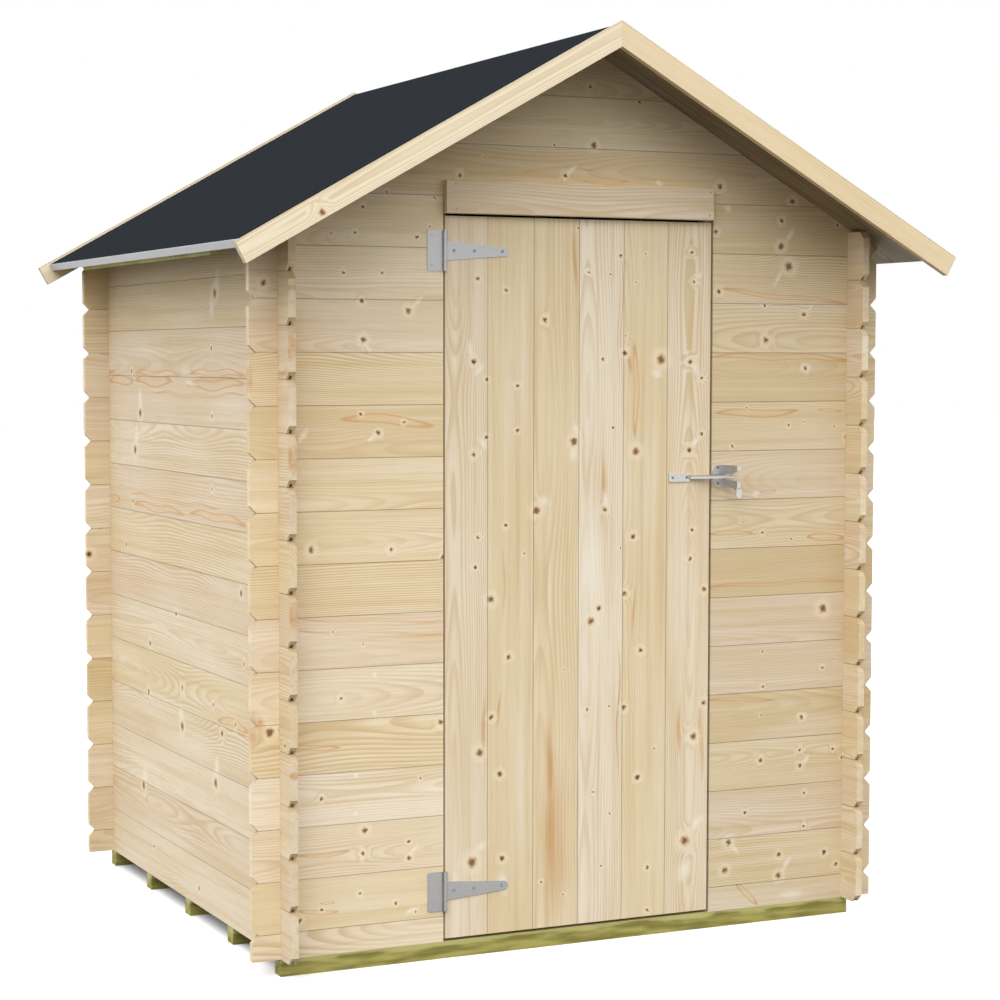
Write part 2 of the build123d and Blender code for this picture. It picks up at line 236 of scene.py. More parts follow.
# %% [markdown]
# ## Spruce
# Planed spruce is pale straw with fine darker lines. A line is the dense wood of one late summer,
# and the rings stand round the heart of the tree. A board is a slice beside that heart, so its
# face shows long arches where the slice is flat to the rings and straight lines further out. The
# way that keeps this true on faces and ends alike is to compute the distance from a heart line in
# space, and to draw a line each time it grows by one ring.
#
# Each board has its own heart, from a random number for the board's row. A noise with few finer
# layers is cheap, so the wood takes five of them and leaves the rest to plain sums.


# %% Noise and places inside a board
def noise(vector, scale, detail=0.0, roughness=0.5):
    """Soft random hills between 0 and 1. A larger scale makes them smaller."""
    return vector.node(
        "ShaderNodeTexNoise",
        None,
        {"Vector": vector, "Scale": scale, "Detail": detail, "Roughness": roughness},
    )


def combine(x, y, z):
    """A vector from three wires or numbers, of which one at least is a wire."""
    known = [value for value in (x, y, z) if isinstance(value, Wire)][0]
    return known.node("ShaderNodeCombineXYZ", None, {0: x, 1: y, 2: z})


def board_place(place, along, across, face, start, pitch, seed):
    """Distances along, across and into a board, and three random numbers for that board."""
    run = place.dot(along)
    side = place.dot(across)
    deep = place.dot(Vector(along).cross(Vector(across))) - face
    row = (side - start) / pitch
    number = row.maths("FLOOR", row)
    inside = side - start - number * pitch - pitch / 2
    luck = number.node(
        "ShaderNodeTexWhiteNoise", {"noise_dimensions": "1D"}, {"W": number * 1.37 + seed}, out="Color"
    )
    parts = luck.node("ShaderNodeSeparateXYZ", None, {0: luck})
    return run, side, deep, number, inside, [parts, parts.other("Y"), parts.other("Z")]


print("board places ready")

# %% [markdown]
# A knot is a branch: it bends the rings round it, and its dark core shows on both faces. Knots come
# two ways. Those that the photograph shows are listed in millimetres, sorted by their radius.
# Elsewhere a cell pattern drops one here and there. Both give the same number, which is the distance
# to the nearest knot counted in knot radii. A small knot has a dark heart, and a large one is brown
# all through, so its number stops at about a half. Long soft marks, such as resin, are ellipses.

# %% Knots and long marks
MM = 0.001
LARGE_KNOT = 8
LARGE_KNOT_LEAST = 0.42
KNOT_CELLS = 3.6
FAR_AWAY = 50


def listed_knots(spot, sizes):
    """Distance from the nearest listed knot, in radii. sizes holds places by radius, in millimetres."""
    nearest = None
    for radius, places in sizes.items():
        closest = None
        for sideways, height in places:
            away = spot.node(
                "ShaderNodeVectorMath",
                {"operation": "DISTANCE"},
                {0: spot, 1: (sideways * MM, height * MM, 0.0)},
                out="Value",
            )
            closest = away if closest is None else closest.maths("MINIMUM", closest, away)
        closest = closest / (radius * MM)
        if radius >= LARGE_KNOT:
            closest = closest.maths("MAXIMUM", closest, LARGE_KNOT_LEAST)
        nearest = closest if nearest is None else nearest.maths("MINIMUM", nearest, closest)
    return nearest


def long_marks(spot, marks):
    """Distance from the nearest mark, which is 1 on its edge. A mark has a tilt in degrees."""
    nearest = None
    for sideways, height, half_long, half_wide, tilt in marks:
        cosine, sine = math.cos(math.radians(tilt)), math.sin(math.radians(tilt))
        long_way = Vector((cosine, sine, 0)) / (half_long * MM)
        wide_way = Vector((-sine, cosine, 0)) / (half_wide * MM)
        centre = Vector((sideways, height, 0)) * MM
        if tilt:
            from_long = spot.dot(long_way) - centre.dot(long_way)
            inside = combine(from_long, spot.dot(wide_way) - centre.dot(wide_way), 0.0)
        else:
            inside = spot.node(
                "ShaderNodeVectorMath",
                {"operation": "MULTIPLY_ADD"},
                {
                    0: spot,
                    1: (long_way.x, wide_way.y, 0.0),
                    2: (-centre.dot(long_way), -centre.dot(wide_way), 0.0),
                },
            )
        away = inside.node("ShaderNodeVectorMath", {"operation": "LENGTH"}, {0: inside}, out="Value")
        nearest = away if nearest is None else nearest.maths("MINIMUM", nearest, away)
    return nearest


def scattered_knots(run, inside, number, luck, often):
    """Distance from the nearest of some random knots, in radii. often is the share of cells with one."""
    cell = combine(run * KNOT_CELLS + luck[0] * 50, inside * KNOT_CELLS + number * 7.7, 0.0)
    spots = cell.node(
        "ShaderNodeTexVoronoi",
        {"voronoi_dimensions": "2D", "feature": "F1"},
        {"Vector": cell, "Scale": 1.0, "Randomness": 0.9},
        out="Distance",
    )
    parts = spots.node("ShaderNodeSeparateXYZ", None, {0: spots.other("Color")})
    keep = parts.step(1 - often, 1 - often + 0.01)
    radius = 0.0028 + 0.0085 * parts.other("Y") ** 3.0
    return spots / KNOT_CELLS / radius + (1 - keep) * FAR_AWAY


print("knots ready")

# %% [markdown]
# Now the wood itself. The rings come from the geometry, and a slow wobble of the heart line makes
# the arches. Then comes the tint. Boards from one pack still differ, so each is given one tint by
# its letter, from the foot of the wall upwards: cream, straw, honey, rose or pale. The barge boards
# are bright or dull, and k is a dark tint for the underside of the roof: painted shade, for the deep
# shade there.

# %% Tints and ring lines
TINTS = {
    "c": look(230, 214, 187),
    "s": look(227, 209, 174),
    "h": look(217, 196, 157),
    "r": look(225, 206, 180),
    "p": look(235, 222, 200),
    # k: painted shade, a dark tint that stands for the shade under the roof
    "k": look(80, 72, 60),
    "b": look(242, 229, 200),
    "d": look(234, 215, 178),
}


def board_tint(number, letters):
    """The colour of each board in turn, from its letter."""
    share = 1 / len(letters)
    stops = [(share * place, TINTS[letter]) for place, letter in enumerate(letters)]
    return number.node("ShaderNodeValToRGB", {"stops": stops}, {0: (number + 0.5) * share})


def ring_lines(run, side, deep, inside, luck, bend, wave, ring):
    """Strength of the late-wood line at each point, from 0 to 1, and the slow wobble behind it."""
    heart_spread = 0.19
    nearest_heart, heart_range = 0.028, 0.050
    narrow_ring, ring_range = 0.0034, 0.0032
    slow = noise(combine(run * 2.1, side * 5.0, deep * 4.0), 1.0) - 0.5
    heart_side = inside - (luck[1] - 0.5) * heart_spread
    heart_deep = deep + nearest_heart + luck[2] * heart_range + slow * wave
    radius = (heart_side * heart_side + heart_deep * heart_deep) ** 0.5 + bend + slow * 0.006
    rings = radius / (narrow_ring * ring + luck[0] * ring_range * ring)
    saw = rings.maths("FRACT", rings)
    return saw.step(0.25, 0.88) * (1 - saw.step(0.90, 1.0)), slow


print("tints", "".join(TINTS))

# %% [markdown]
# The finish goes on in layers, from large to small. Wide drifts and narrow streaks run along the
# grain, the late-wood lines follow the rings, and the fibre is the finest. Then come the resin, the
# stains and the pale flares beside knots, which are painted sheen, the knots themselves, a thin
# shadow where two boards meet, and the faces of the notches at a board's ends, which are painted
# shade on top and painted light underneath. Only the fibre feeds the bump, because a bump asks for
# its height three times.

# %% Tones of the layers
LATE_WOOD = look(201, 170, 121)
DRIFT_DARK, DRIFT_PALE = look(217, 195, 154), look(234, 222, 201)
STREAK_DARK, STREAK_PALE = look(209, 182, 136), look(238, 226, 204)
FIBRE_DARK = look(186, 154, 104)
RESIN_PALE, RESIN_EDGE = look(222, 184, 132), look(204, 152, 98)
# The pale flare colour and the pale outer ring of a knot are painted sheen: the shimmer of the fibres that
# bend round a knot.
STAIN, FLARE_PAINTED_SHEEN = look(199, 152, 100), look(241, 232, 214)
KNOT_PAINTED_SHEEN, KNOT_RIM = look(239, 224, 196), look(200, 160, 110)
KNOT_BROWN, KNOT_HEART = look(144, 102, 64), look(70, 52, 38)
JOINT_SHADE, TOP_FACE_PAINTED_SHADE = look(104, 80, 52), look(150, 128, 92)
END_NOTCH = 0.017
# The notch faces at the board ends: painted shade on the upper faces and painted light on the lower ones.
NOTCH_TOP_PAINTED_SHADE, NOTCH_UNDER_PAINTED_LIGHT = look(160, 134, 98), look(252, 228, 178)
KNOT_RINGS = (
    (1.2, 3.0, 0.55, KNOT_PAINTED_SHEEN),
    (0.80, 1.35, 0.55, KNOT_RIM),
    (0.45, 0.95, 0.82, KNOT_BROWN),
    (0.26, 0.60, 0.88, KNOT_HEART),
)
print("tones of a knot", len(KNOT_RINGS))


# %% Layers
def grain_layers(wood, run, side, deep, late, slow, luck, lines, uneven):
    """Adds the drifts, streaks, late-wood lines and fibre, and gives back the last two noises too."""
    drift = noise(combine(run * 2.6, side * 16, deep * 16), 1.0)
    wood = (drift.step(0.45, 0.80) * 0.42 * uneven).mix(wood, DRIFT_DARK)
    wood = ((1 - drift.step(0.20, 0.48)) * 0.45 * uneven).mix(wood, DRIFT_PALE)
    streak = noise(combine(run * 1.4, side * 62, deep * 62), 1.0, 1.0, 0.6)
    wood = (streak.step(0.45, 0.78) * 0.50 * uneven).mix(wood, STREAK_DARK)
    wood = ((1 - streak.step(0.22, 0.45)) * 0.40 * uneven).mix(wood, STREAK_PALE)
    strength = late * (0.30 + slow.step(-0.22, 0.22) * 0.60) * (0.40 + luck[1] * 0.60) * lines
    wood = strength.mix(wood, LATE_WOOD)
    fibre = noise(combine(run * 13, side * 380, deep * 380), 1.0)
    wood = (fibre.step(0.45, 0.85) * 0.16).mix(wood, FIBRE_DARK)
    return wood, streak, fibre


def knot_layers(wood, knot):
    """Adds the rings of a knot. Each fades between two distances and has a strength and a colour."""
    for inner, outer, strength, tone in KNOT_RINGS:
        wood = ((1 - knot.step(inner, outer)) * strength).mix(wood, tone)
    return wood


def edge_layers(wood, run, inside, pitch, joint, ends, top_edge):
    """Shades the joint between two boards, paints shade and light on the notches at their ends and paints
    shade on a top face.
    """
    if joint:
        edge = (inside.maths("ABSOLUTE", inside) - (pitch / 2 - joint)).step(0.0, joint)
        wood = (edge * 0.62).mix(wood, JOINT_SHADE)
    # Painted shade on the upper faces of the notches and painted light on their lower faces.
    if ends is not None:
        middle, half_long = ends
        reach = (run - middle).maths("ABSOLUTE", run - middle) + inside.maths("ABSOLUTE", inside)
        corner = half_long + pitch / 2 - END_NOTCH
        notch_face_mask = reach.step(corner - 0.0012, corner - 0.0003)
        wood = (notch_face_mask * inside.step(0.0, 0.03) * 0.62).mix(wood, NOTCH_TOP_PAINTED_SHADE)
        wood = (notch_face_mask * (1 - inside.step(-0.03, 0.0)) * 0.85).mix(wood, NOTCH_UNDER_PAINTED_LIGHT)
    # Painted shade on the board's top face, which the sky overhead would light brighter than its front.
    if top_edge is not None:
        top_face_shade_mask = inside.step(top_edge - 0.0012, top_edge - 0.0002)
        wood = (top_face_shade_mask * 0.8).mix(wood, TOP_FACE_PAINTED_SHADE)
    return wood


print("layers ready")

# %% [markdown]
# The material puts the layers together. The same warped spot serves the knots and the flares, so
# that neither is a clean circle, and resin and stains sway with the grain instead.


# %% The spruce material
def spruce(
    name,
    along,
    across,
    face=0.0,
    start=0.0,
    pitch=5.0,
    seed=1.0,
    letters="cs",
    knots=None,
    upright=False,
    flames=(),
    flares=(),
    often=0.3,
    joint=0.0,
    wave=0.050,
    lines=0.88,
    stains=(),
    ends=None,
    ring=1.0,
    shade=1.0,
    uneven=1.0,
    top_edge=None,
):
    """Wood for boards that run along, lie side by side across, and start at start, pitch apart.

    face is the depth of the face that shows, and letters are the tints of the boards in turn. knots,
    flames, flares and stains are lists in millimetres, sideways first, and upright is for standing
    boards. often is how many random knots there are without a list. wave and ring shape the rings,
    lines and uneven say how strong they and the drifts are, and shade scales the brightness of the
    whole: painted light and shade, for a wall that lies in more or less light than the others.
    joint is the width of the shadow between boards, ends are the middle and half length of boards
    with notched ends, and top_edge is the height of the top face over the middle of the board, which
    is painted darker as shade.
    """
    material, shader, place = new_material(name)
    shader.inputs["Specular IOR Level"].default_value = 0.25
    shake_amount = 0.008
    run, side, deep, number, inside, luck = board_place(place, along, across, face, start, pitch, seed)
    shake = place.node(
        "ShaderNodeTexNoise", None, {"Vector": place, "Scale": 110.0, "Detail": 0.0}, out="Color"
    )
    first, second = (side, run) if upright else (run, side)
    still = combine(first - shake_amount / 2, second - shake_amount / 2, 0.0)
    spot = still.node(
        "ShaderNodeVectorMath",
        {"operation": "MULTIPLY_ADD"},
        {0: shake, 1: (shake_amount, shake_amount, 0.0), 2: still},
    )
    knot = listed_knots(spot, knots) if knots else scattered_knots(run, inside, number, luck, often)
    bend = (1 - knot.step(0.5, 4.5)) * 0.0055
    moved = run + luck[0] * 37
    late, slow = ring_lines(moved, side, deep, inside, luck, bend, wave, ring)

    wood = board_tint(number, letters)
    wood, streak, fibre = grain_layers(wood, moved, side, deep, late, slow, luck, lines, uneven)

    swing = run * 27
    ripple = swing.maths("SINE", swing) * 0.0035 + slow * 0.03
    swayed = combine(side + ripple, run, 0.0) if upright else combine(run, side + ripple, 0.0)
    if flames:
        mark = long_marks(swayed, flames)
        outline = mark.step(0.62, 0.93) * (1 - mark.step(0.95, 1.10))
        wood = ((1 - mark.step(0.70, 1.0)) * 0.24).mix(wood, RESIN_PALE)
        wood = (outline * 0.70).mix(wood, RESIN_EDGE)
    if stains:
        soaked = 1 - long_marks(swayed, stains).step(0.1, 1.0)
        wood = (soaked * (0.45 + streak.step(0.3, 0.7) * 0.4)).mix(wood, STAIN)
    # Painted sheen: the flares are pale patches beside knots for the shimmer of their bent fibres.
    if flares:
        flare_sheen_mask = 1 - long_marks(spot, flares).step(0.0, 1.1)
        wood = (flare_sheen_mask * 0.75).mix(wood, FLARE_PAINTED_SHEEN)
    wood = knot_layers(wood, knot)
    wood = edge_layers(wood, run, inside, pitch, joint, ends, top_edge)
    # shade scales the whole wall's colour: painted light and shade, lighter for a wall in more light and
    # darker for one in less.
    if shade != 1.0:
        wood = wood.node("ShaderNodeVectorMath", {"operation": "SCALE"}, {0: wood, "Scale": shade})
    plug(wood, shader, "Base Color")
    plug(0.50 + fibre * 0.16 + streak * 0.06, shader, "Roughness")
    roughen(shader, fibre, 0.20, 0.0005)
    return material


print("spruce ready")

# %% [markdown]
# ## Boards of the walls
# The side walls run front to back and their rows start at the foot. The front and back walls run
# left to right, half a board lower, so that the crossing boards lock. Each wall gets its own seed,
# and the walls that the photograph shows get their own knots: the radius first, then each knot's
# place sideways and its height.

# %% Knots of the left wall
left_knots = {
    3: [(24, 1365), (24, 1017), (400, 1595), (-388, 835), (274, 95), (-337, 135), (-90, 1532), (210, 1488)],
    6: [(495, 1373), (495, 1026), (-160, 1091), (-163, 1267), (-161, 1431), (-383, 690), (-157, 565)],
    6.5: [(-319, 537), (335, 123), (-37, 86), (560, 905), (130, 760)],
    5: [(-652, 537)],
    9: [(-365, 855), (351, 659), (85, 575), (367, 529), (-222, 502)],
    13: [(-189, 1563), (421, 1263), (469, 1165), (87, 477), (-172, 373), (419, 270)],
}
left_flames = [
    (-195, 1370, 205, 9, 0),
    (270, 1370, 190, 9, 0),
    (-190, 1347, 210, 13, 0),
    (305, 1347, 155, 13, 0),
    (590, 1347, 110, 13, 0),
    (-50, 1320, 350, 4, 0.3),
    (-195, 1022, 205, 10, 0),
    (270, 1020, 210, 10, 0),
    (675, 1020, 60, 10, 0),
    (150, 1045, 350, 4, 0),
    (-300, 535, 110, 10, 0),
]
left_flares = [
    (-205, 1585, 26, 50, 12),
    (-165, 1530, 22, 36, -8),
    (421, 1300, 24, 38, -10),
    (455, 1200, 24, 36, 8),
    (-180, 412, 24, 40, 5),
    (0, 1345, 60, 10, 4),
    (95, 505, 26, 34, -10),
    (405, 300, 26, 36, 8),
]
left_stains = [
    (690, 1365, 60, 9, 0),
    (-650, 1372, 60, 10, 0),
    (-687, 1559, 7, 11, 0),
    (-687, 475, 7, 13, 0),
    (-687, 1430, 5, 52, 0),
    (-687, 1190, 5, 44, 0),
    (-687, 830, 5, 40, 0),
    (775, 690, 30, 60, 0),
]
print("left wall knots", sum(len(places) for places in left_knots.values()))

# %% Knots of the front wall, left of the door
front_left_knots = {
    3: [(-636, 1687), (-382, 1773), (-393, 1709), (-637, 784), (-561, 751), (-419, 432), (-431, 118)],
    4.5: [(-559, 1750), (-579, 1691), (-426, 1684), (-607, 1600), (-513, 1600), (-566, 1279), (-459, 1261)],
    4.6: [(-362, 947), (-617, 631), (-666, 402), (-448, 286), (-572, 175), (-666, 146), (-482, 144)],
    6: [(-563, 1536), (-523, 1237), (-491, 967), (-563, 267), (-448, 247), (-719, 126)],
    8: [(-448, 1516), (-559, 1449), (-689, 974), (-367, 561), (-559, 321), (-800, 1574)],
    11: [(-790, 563)],
}
front_left_flames = [
    (-500, 1262, 115, 10, -6),
    (-540, 776, 180, 3.5, -2.7),
    (-540, 806, 180, 3, -2),
    (-676, 141, 50, 5, -3),
    (-652, 161, 18, 3, 0),
    (-660, 280, 62, 5, 2),
    (-680, 531, 60, 6, 0),
]
front_left_flares = [
    (-425, 1535, 26, 7, 48),
    (-548, 1428, 7, 20, 30),
    (-540, 1225, 16, 7, 35),
    (-707, 1232, 10, 26, -35),
    (-436, 265, 22, 7, 45),
    (-534, 680, 9, 9, 0),
    (-534, 592, 8, 8, 0),
    (-581, 450, 8, 8, 0),
    (-581, 365, 8, 8, 0),
    (-440, 122, 26, 9, 20),
]
print("front left knots", sum(len(places) for places in front_left_knots.values()))

# %% Knots of the front wall, right of the door
front_right_knots = {
    3: [(458, 1286), (624, 1250), (714, 1237), (592, 958), (450, 1005), (721, 651), (511, 681), (507, 522)],
    4.5: [(717, 1738), (507, 1536), (418, 1191), (580, 1240), (507, 976), (686, 631), (622, 427)],
    4.6: [(722, 423), (748, 398), (637, 317), (637, 232), (464, 280), (511, 593)],
    6.5: [(554, 1744), (367, 1714), (376, 1569), (622, 1516), (627, 1383), (627, 509), (507, 408)],
    6.6: [(622, 387), (563, 165), (698, 160), (734, 126), (751, 1209)],
    9: [(553, 1681), (511, 1451), (416, 209), (406, 140), (563, 112)],
    12: [(576, 1632), (686, 780)],
}
front_right_flames = [
    (487, 1273, 118, 9, 0),
    (692, 960, 55, 10, 0),
    (418, 976, 62, 5, 2),
    (560, 1562, 185, 6, -3),
    (522, 1078, 23, 4, 0),
    (470, 78, 40, 8, -38),
    (450, 558, 95, 5, 0),
    (700, 1272, 34, 4, 0),
    (560, 1405, 210, 7, 0),
    (560, 850, 210, 5, 0.5),
]
front_right_flares = [
    (578, 1708, 30, 10, 55),
    (545, 1603, 8, 30, -30),
    (640, 1532, 22, 7, 48),
    (627, 1383, 22, 14, 0),
    (627, 512, 20, 12, 0),
    (488, 1074, 15, 11, 0),
    (585, 140, 30, 9, 55),
    (640, 400, 22, 8, 45),
    (435, 190, 8, 22, 40),
    (600, 62, 50, 14, 0),
    (400, 1770, 16, 12, -30),
]
print("front right knots", sum(len(places) for places in front_right_knots.values()))

# %% Wall boards
JOINT = 0.0016
half = board_cover / 2
front_face = -front_y
gable_knots = {
    3: [(-73, 1905), (-256, 1870), (153, 2015), (-501, 1786)],
    5.5: [(21, 2046), (-45, 1835), (-318, 1829)],
    8: [(31, 1909), (377, 1822), (585, 1791)],
}
gable_flames = [
    (62, 1825, 60, 4, 0),
    (-60, 1850, 90, 4, 2),
    (-150, 1812, 120, 4, 0),
    (250, 1800, 130, 4, 0),
]
gable_flares = [(-28, 1848, 26, 8, 40), (207, 1825, 14, 8, 0)]
side_way = {
    "along": (0, 1, 0),
    "across": (0, 0, 1),
    "start": wall_z,
    "pitch": board_cover,
    "joint": JOINT,
    "ends": ((side_low.y + side_high.y) / 2, (side_high.y - side_low.y) / 2),
}
front_way = {
    "along": (1, 0, 0),
    "across": (0, 0, 1),
    "face": front_face,
    "start": wall_z - half,
    "pitch": board_cover,
    "joint": JOINT,
    "ends": (0.0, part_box("front_wall_right_boards")[1].x),
}
back_way = dict(front_way, face=-back_y)
dress(
    spruce(
        "spruce_left_wall",
        face=left_x,
        seed=3.1,
        letters="crccscrsrcrrss",
        knots=left_knots,
        # painted shade: this wall's colour is made a little darker, as if it got less light
        shade=0.97,
        flames=left_flames,
        flares=left_flares,
        stains=left_stains,
        **side_way,
    ),
    "left_wall_boards",
)
right_wood = spruce("spruce_right_wall", face=right_x, seed=8.3, letters="scrschsrcssprs", **side_way)
dress(right_wood, "right_wall_boards")
dress(spruce("spruce_back_wall", seed=5.7, letters="srcshsrcpsrcshsrcs", **back_way), "back_wall_boards")
dress(
    spruce(
        "spruce_front_left",
        seed=11.9,
        letters="cscpscrssshsrcs",
        knots=front_left_knots,
        # painted light: the left of the front is made lighter, as if it got more light
        shade=1.07,
        flames=front_left_flames,
        flares=front_left_flares,
        stains=[(-832, 580, 20, 52, 0), (-812, 575, 14, 40, 12), (-834, 1370, 12, 40, 0)],
        **front_way,
    ),
    "front_wall_left_boards",
)
dress(
    spruce(
        "spruce_front_right",
        seed=14.2,
        letters="csrshrrhsrshssh",
        knots=front_right_knots,
        # painted shade: the right of the front is made darker, as if it got less light
        shade=0.93,
        flames=front_right_flames,
        flares=front_right_flares,
        **front_way,
    ),
    "front_wall_right_boards",
)
dress(
    spruce(
        "spruce_gable",
        seed=17.6,
        letters="csrshrrhsrshssshss",
        knots=gable_knots,
        flames=gable_flames,
        flares=gable_flares,
        **front_way,
    ),
    "front_gable_boards",
)
print("walls dressed")

# %% [markdown]
# ## Door, roof boards and trims
# The same wood is used with its grain turned. The door has the most knots of all, because each of
# its planks was cut from near the top of a tree. The barge boards are paler than the walls, and
# their rings run nearly straight. The roof boards show only their underside, whose dark tint is
# painted shade.

# %% Knots of the door
door_knots = {
    3: [(-10, 1714), (77, 1607), (19, 1609), (171, 1655), (147, 1589), (121, 1460), (-151, 946), (107, 954)],
    3.1: [(18, 566), (77, 569), (-104, 157), (59, 183), (36, 364), (86, 1241), (204, 459), (82, 309)],
    3.2: [(-43, 123), (-43, 666)],
    5: [(300, 1663), (306, 1591), (-272, 1591), (-199, 1567), (105, 1651), (-249, 1358), (330, 1358)],
    5.1: [(58, 1404), (-169, 1344), (-169, 1237), (-249, 1223), (330, 1223), (-199, 1015), (-272, 990)],
    5.2: [(-278, 919), (306, 990), (301, 919), (186, 168), (186, 61)],
    7: [(-97, 1496), (117, 1420), (-282, 1399), (297, 1399), (-282, 1183), (297, 1183), (64, 1046)],
    7.1: [(142, 979), (120, 842), (341, 842), (49, 809), (164, 701), (-191, 704), (119, 564), (-236, 563)],
    7.2: [(342, 563), (157, 391), (-207, 224), (-214, 427)],
    10: [(-19, 1209), (149, 1184), (-118, 1048), (-238, 842), (28, 778), (-266, 481), (313, 481)],
    13: [(217, 1404), (-286, 222), (291, 224)],
}
door_flames = [(148, 1330, 8, 110, 1)]
door_stains = [
    (-85, 430, 17, 150, 0),
    (-250, 540, 9, 110, 0),
    (-212, 580, 6, 60, 0),
    (-66, 260, 52, 260, 0),
    (333, 480, 10, 150, 0),
    (150, 790, 6, 90, 0),
    (-205, 880, 6, 110, 0),
    (98, 560, 4, 260, 0),
    (60, 1090, 10, 120, 0),
    (109, 1490, 3, 260, 0),
    (101, 1480, 2, 240, 0),
    (-17, 1640, 8, 110, 0),
    (131, 1395, 9, 40, 4),
    (275, 500, 9, 90, 0),
]
door_flares = [
    (25, 920, 46, 220, 0),
    (-98, 1072, 16, 20, 40),
    (-290, 1425, 12, 30, 6),
    (-268, 1380, 24, 10, 48),
    (-258, 1208, 24, 10, -48),
    (205, 1370, 26, 14, -16),
    (-14, 1238, 12, 22, 12),
    (-20, 1180, 16, 24, 0),
    (312, 1380, 26, 9, -48),
    (312, 1203, 26, 9, 48),
    (325, 268, 28, 15, 40),
    (-262, 258, 28, 14, 30),
    (320, 1605, 16, 9, 45),
    (-205, 165, 18, 40, 14),
    (290, 150, 26, 40, -20),
    (65, 1070, 14, 34, 8),
]
print("door knots", sum(len(places) for places in door_knots.values()))

# %% Door planks and the wood around them
slope_left = (math.cos(roof_pitch), 0, math.sin(roof_pitch))
slope_right = (math.cos(roof_pitch), 0, -math.sin(roof_pitch))
door_start = door_high.x - plank_count * board_cover
door_back = 0.601
upright_way = {"along": (0, 0, 1), "across": (1, 0, 0)}
level_way = {"along": (1, 0, 0), "across": (0, 0, 1)}
dress(
    spruce(
        "spruce_door",
        face=front_y,
        start=door_start,
        pitch=board_cover,
        seed=21.3,
        letters="csspsc",
        knots=door_knots,
        upright=True,
        flames=door_flames,
        flares=door_flares,
        stains=door_stains,
        joint=JOINT,
        wave=0.032,
        **upright_way,
    ),
    "door_planks",
)
header_low, header_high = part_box("door_header")
header_middle = (header_low.z + header_high.z) / 2
header_wood = spruce(
    "spruce_header",
    face=front_face + board_thick,
    start=header_middle - 0.5,
    pitch=1.0,
    seed=24.4,
    letters="r",
    often=0.0,
    wave=0.04,
    lines=1.0,
    **level_way,
)
dress(header_wood, "door_header")
dress(
    spruce("spruce_ledges", face=door_back, pitch=0.8, seed=26.1, letters="scs", **level_way),
    "door_ledge_lower",
    "door_ledge_upper",
)
dress(
    spruce("spruce_ridge", (0, 1, 0), (0, 0, 1), face=-0.0225, start=1.6, pitch=1.0, seed=30.2),
    "ridge_beam",
)
dress(
    spruce("spruce_posts", face=-0.6, pitch=0.4, start=-0.6, seed=27.7, **upright_way),
    "door_jamb_left",
    "door_jamb_right",
)
brace_low, brace_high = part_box("door_brace")
brace_width = 0.08
brace_size = brace_high - brace_low
brace_run = Vector((brace_size.x - brace_width, 0, brace_size.z)).normalized()
brace_side = brace_run.cross(Vector((0, 1, 0)))
brace_start = ((brace_low + brace_high) / 2).dot(brace_side) - 5
brace_wood = spruce(
    "spruce_brace", brace_run, brace_side, face=door_back, start=brace_start, pitch=10.0, seed=28.5
)
dress(brace_wood, "door_brace")
floor_low, floor_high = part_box("floor_boards")
dress(
    spruce(
        "spruce_floor",
        along=(0, 1, 0),
        across=(1, 0, 0),
        face=-floor_high.z,
        start=floor_low.x,
        pitch=board_cover,
        seed=31.0,
        joint=JOINT,
    ),
    "floor_boards",
)
print("door dressed")

# %% Roof boards and barge boards
roof_low, roof_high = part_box("roof_boards_left")
boards_on_slope = 14
roof_step = (roof_high.y - roof_low.y) / boards_on_slope
roof_face = roof_high.z * math.cos(roof_pitch)
# The roof boards take the dark tint k, painted shade for their underside under the roof.
for side, slope, seed in (("left", slope_left, 34.0), ("right", slope_right, 36.0)):
    dress(
        spruce(
            f"spruce_roof_painted_shade_{side}",
            along=slope,
            across=(0, 1, 0),
            face=roof_face,
            start=roof_low.y,
            pitch=roof_step,
            seed=seed,
            letters="k",
            uneven=0.4,
            joint=0.001,
        ),
        f"roof_boards_{side}",
    )
barge_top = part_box("barge_front_left")[1].z * math.cos(roof_pitch)
barge_half = 0.03
knot_place = Vector((-0.7357, 0, 1.721))
knot_run = knot_place.dot(slope_left)
knot_side = knot_place.dot((-math.sin(roof_pitch), 0, math.cos(roof_pitch)))
barge_knot = {9: [(knot_run / MM, knot_side / MM)]}
for side, slope in (("left", slope_left), ("right", slope_right)):
    up = Vector(slope).cross(Vector((0, 1, 0)))
    for end, face, seed in (("front", 0.814, 41.0), ("back", -0.796, 43.0)):
        # The barge boards' top faces get painted shade through top_edge.
        wood = spruce(
            f"spruce_barge_{end}_{side}",
            along=slope,
            across=up,
            face=face,
            start=barge_top - barge_half - 0.5,
            pitch=1.0,
            seed=seed + (side == "right"),
            knots=barge_knot if (end, side) == ("front", "left") else None,
            letters="b" if side == "left" else "d",
            often=0.0,
            ring=0.7 if side == "left" else 1.1,
            wave=0.008,
            lines=0.75,
            uneven=0.35,
            top_edge=barge_half,
        )
        dress(wood, f"barge_{end}_{side}")
print("roof wood dressed")

# %% [markdown]
# ## Pressure-treated timber
# The bearers and the battens under the eaves are sawn timber with a green salt treatment. It takes
# unevenly, so yellow sapwood shows through, and the saw leaves fine slanting marks.


